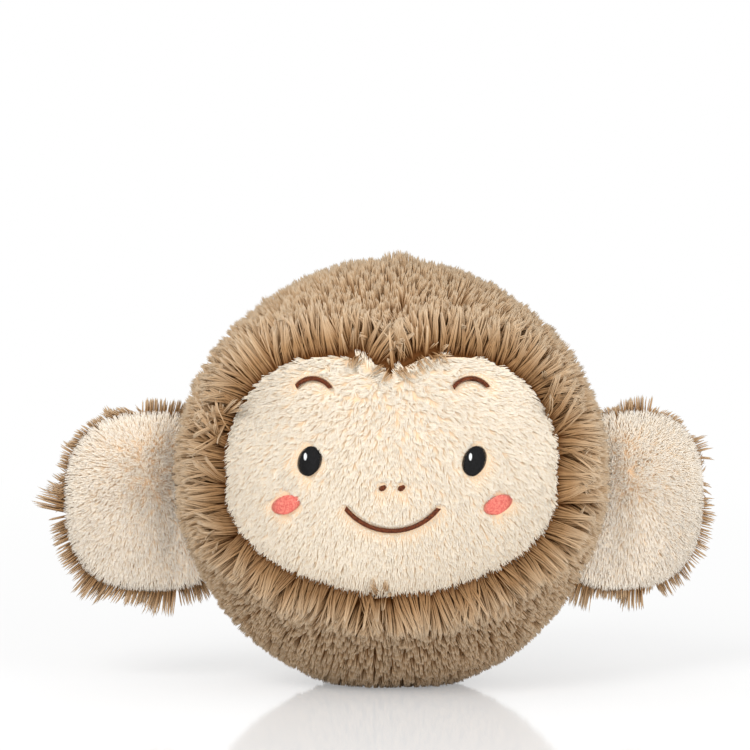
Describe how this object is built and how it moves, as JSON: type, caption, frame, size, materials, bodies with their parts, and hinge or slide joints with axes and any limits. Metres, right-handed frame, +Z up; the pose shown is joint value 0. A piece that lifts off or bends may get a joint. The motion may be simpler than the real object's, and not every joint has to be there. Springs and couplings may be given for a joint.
{
  "type": "stuffed monkey head toy",
  "caption": "Round, stuffed monkey's head in long brown pile, with a short-pile embroidered face and two flap ears that fold.",
  "frame": {"origin": "on the floor, at the middle of the flat that the head settles onto", "axes": "+Z up, the face looks along -Y, +X towards the right ear as seen when facing the toy"},
  "size_m": [0.386, 0.1772, 0.251],
  "materials": {
    "long_pile": "long shaggy pile on a knitted back, taupe brown with paler tips",
    "face_pile": "short dense cream pile",
    "ear_pile": "short fluffy peach-cream pile",
    "stuffing": "loose polyester fibre",
    "backing": "non-woven embroidery backing",
    "seam_fabric": "folded knitted back of the pile fabric",
    "black_thread": "satin stitched embroidery",
    "white_thread": "satin stitched embroidery",
    "brown_thread": "satin stitched embroidery",
    "red_thread": "satin stitched embroidery",
    "sewing_thread": "twisted sewing thread"
  },
  "bodies": {
    "head": {"closing_stitches": "sewing_thread", "head_front_left": "long_pile", "head_front_right": "long_pile", "head_back_left": "long_pile", "head_back_right": "long_pile", "face_panel": "face_pile", "face_backing": "backing", "face_seam": "seam_fabric", "side_seam": "seam_fabric", "middle_seam": "seam_fabric", "head_stuffing": "stuffing", "eye_left": "black_thread", "eye_glint_left": "white_thread", "brow_left": "brown_thread", "cheek_left": "red_thread", "nostril_left": "brown_thread", "eye_right": "black_thread", "eye_glint_right": "white_thread", "brow_right": "brown_thread", "cheek_right": "red_thread", "nostril_right": "brown_thread", "mouth": "brown_thread"},
    "ear_left": {"ear_stuffing_left": "stuffing", "ear_front_left": "ear_pile", "ear_back_left": "long_pile"},
    "ear_right": {"ear_stuffing_right": "stuffing", "ear_front_right": "ear_pile", "ear_back_right": "long_pile"}
  },
  "joints": [
    {"name": "ear_left_fold", "type": "hinge", "parent": "head", "child": "ear_left", "pos_m": [-0.1315, 0, 0.11], "axis": [0, 0, 1], "range_deg": [-60, 60], "stiffness_Nm_per_rad": 0.05},
    {"name": "ear_right_fold", "type": "hinge", "parent": "head", "child": "ear_right", "pos_m": [0.1315, 0, 0.11], "axis": [0, 0, -1], "range_deg": [-32, 88], "stiffness_Nm_per_rad": 0.05}
  ]
}
